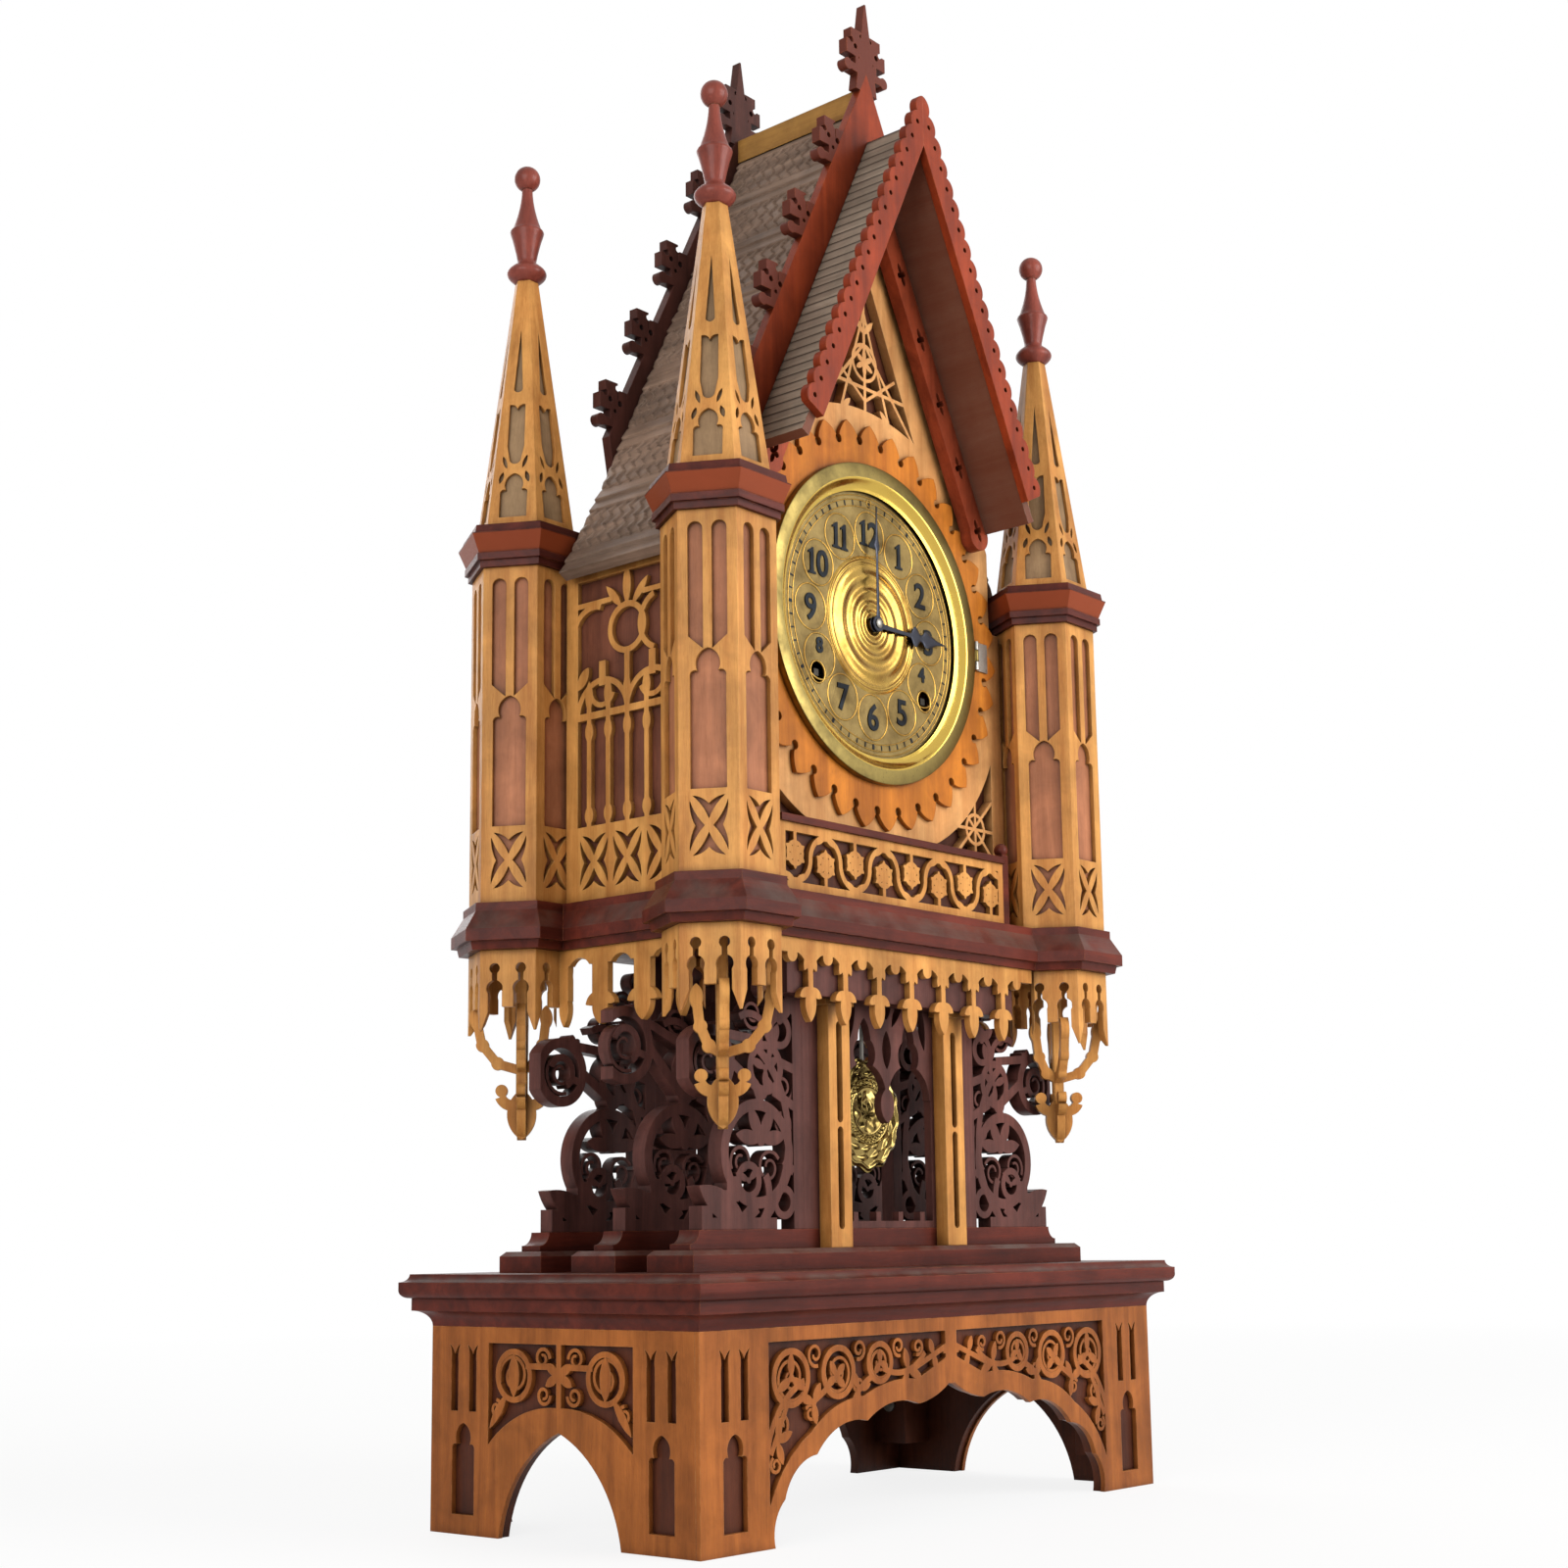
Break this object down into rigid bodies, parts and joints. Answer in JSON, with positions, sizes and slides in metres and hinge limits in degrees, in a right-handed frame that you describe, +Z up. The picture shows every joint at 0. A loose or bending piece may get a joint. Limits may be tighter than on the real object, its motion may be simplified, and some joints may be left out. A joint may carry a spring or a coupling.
{
  "type": "steeple clock",
  "caption": "Tall Gothic fretwork steeple clock: hexagonal corner turrets with spires, steep gabled roof with porch, brass dial behind a hinged bezel, open lower stage with pendulum.",
  "frame": {"origin": "middle of the object's box, on the floor that it stands on", "axes": "+Z up, +X to the right seen from the front, +Y to the back; the dial faces -Y"},
  "size_m": [0.426, 0.2252, 0.89],
  "materials": {
    "honey_wood": "aged satin varnish",
    "red_wood": "aged satin varnish",
    "dark_wood": "aged satin varnish",
    "moulding_wood": "worn dark varnish",
    "shingle_wood": "weathered, matt",
    "verge_wood": "satin varnish",
    "petal_wood": "satin varnish",
    "finial_wood": "satin varnish",
    "brass": "aged, lightly polished",
    "steel": "oiled steel",
    "blued_steel": "blued",
    "bell_metal": "plain"
  },
  "bodies": {
    "case": {"base_front_fret": "honey_wood", "base_side_frets": "honey_wood", "front_posts": "honey_wood", "front_apron": "honey_wood", "side_aprons": "honey_wood", "turret_aprons": "honey_wood", "turret_pendants": "honey_wood", "balustrade_fret": "honey_wood", "balustrade_rail": "honey_wood", "turret_frets": "honey_wood", "spire_frets": "honey_wood", "side_gate_frets": "honey_wood", "crenel_sill": "honey_wood", "inner_bargeboards": "honey_wood", "front_lintel": "honey_wood", "base_backings": "red_wood", "turret_cores": "red_wood", "spire_cores": "red_wood", "front_wall": "red_wood", "side_walls": "red_wood", "base_corner_blocks": "red_wood", "base_rear_board": "red_wood", "back_panel": "red_wood", "movement_cleats": "red_wood", "scroll_brackets": "dark_wood", "tracery_screens": "dark_wood", "dark_linings": "dark_wood", "base_cove": "moulding_wood", "base_plate": "moulding_wood", "plinth_feet": "moulding_wood", "plinth_bars": "moulding_wood", "belt_moulding": "moulding_wood", "turret_caps": "moulding_wood", "roof_slopes": "shingle_wood", "porch_roof": "shingle_wood", "front_verge": "verge_wood", "rear_verge": "verge_wood", "porch_bargeboards": "verge_wood", "ridge_board": "verge_wood", "petal_ring": "petal_wood", "turned_finials": "finial_wood", "bezel_hinge": "brass", "dial": "brass", "movement_frame": "brass", "mainsprings": "steel", "base_screws": "steel", "strike_bell": "bell_metal"},
    "bezel": {"bezel": "brass"},
    "minute": {"centre_arbor": "brass", "minute_hand": "blued_steel"},
    "hour": {"hour_wheel": "brass", "hour_hand": "blued_steel"},
    "motion_wheel": {"minute_wheel": "brass"},
    "time_winder": {"time_winding_arbor": "steel"},
    "strike_winder": {"strike_winding_arbor": "steel"},
    "escape": {"escape_wheel": "brass"},
    "pendulum": {"pendulum_rod": "steel", "pendulum_bob": "brass"},
    "verge": {"verge_crutch": "steel"},
    "hammer": {"strike_hammer": "steel"}
  },
  "joints": [
    {"name": "bezel_hinge", "type": "hinge", "parent": "case", "child": "bezel", "pos_m": [0.0995, -0.0582, 0.5], "axis": [0, 0, 1], "range_deg": [0, 85]},
    {"name": "minute_turn", "type": "hinge", "parent": "case", "child": "minute", "pos_m": [0, -0.0536, 0.5], "axis": [0, 1, 0], "continuous": true},
    {"name": "hour_turn", "type": "hinge", "parent": "case", "child": "hour", "pos_m": [0, -0.0536, 0.5], "axis": [0, 1, 0], "continuous": true},
    {"name": "motion_wheel_turn", "type": "hinge", "parent": "case", "child": "motion_wheel", "pos_m": [0, -0.0396, 0.518], "axis": [0, 1, 0], "continuous": true},
    {"name": "time_winding", "type": "hinge", "parent": "case", "child": "time_winder", "pos_m": [0.0495, -0.0336, 0.463], "axis": [0, 1, 0], "range_deg": [0, 2160]},
    {"name": "strike_winding", "type": "hinge", "parent": "case", "child": "strike_winder", "pos_m": [-0.0495, -0.0336, 0.463], "axis": [0, -1, 0], "range_deg": [0, 2160]},
    {"name": "escape_turn", "type": "hinge", "parent": "case", "child": "escape", "pos_m": [0, -0.0336, 0.446], "axis": [0, 1, 0], "continuous": true},
    {"name": "pendulum_swing", "type": "hinge", "parent": "case", "child": "pendulum", "pos_m": [0, -0.0416, 0.468], "axis": [0, 1, 0], "range_deg": [-4, 4]},
    {"name": "verge_rock", "type": "hinge", "parent": "case", "child": "verge", "pos_m": [0, -0.0386, 0.468], "axis": [0, 1, 0], "range_deg": [-4, 4]},
    {"name": "hammer_swing", "type": "hinge", "parent": "case", "child": "hammer", "pos_m": [0.044, 0.0164, 0.592], "axis": [0, 1, 0], "range_deg": [-8, 20]}
  ],
  "couplings": [
    {"joint": "hour_turn", "follows": "minute_turn", "ratio": 0.083333},
    {"joint": "motion_wheel_turn", "follows": "minute_turn", "ratio": -0.33333},
    {"joint": "verge_rock", "follows": "pendulum_swing", "ratio": 1}
  ]
}
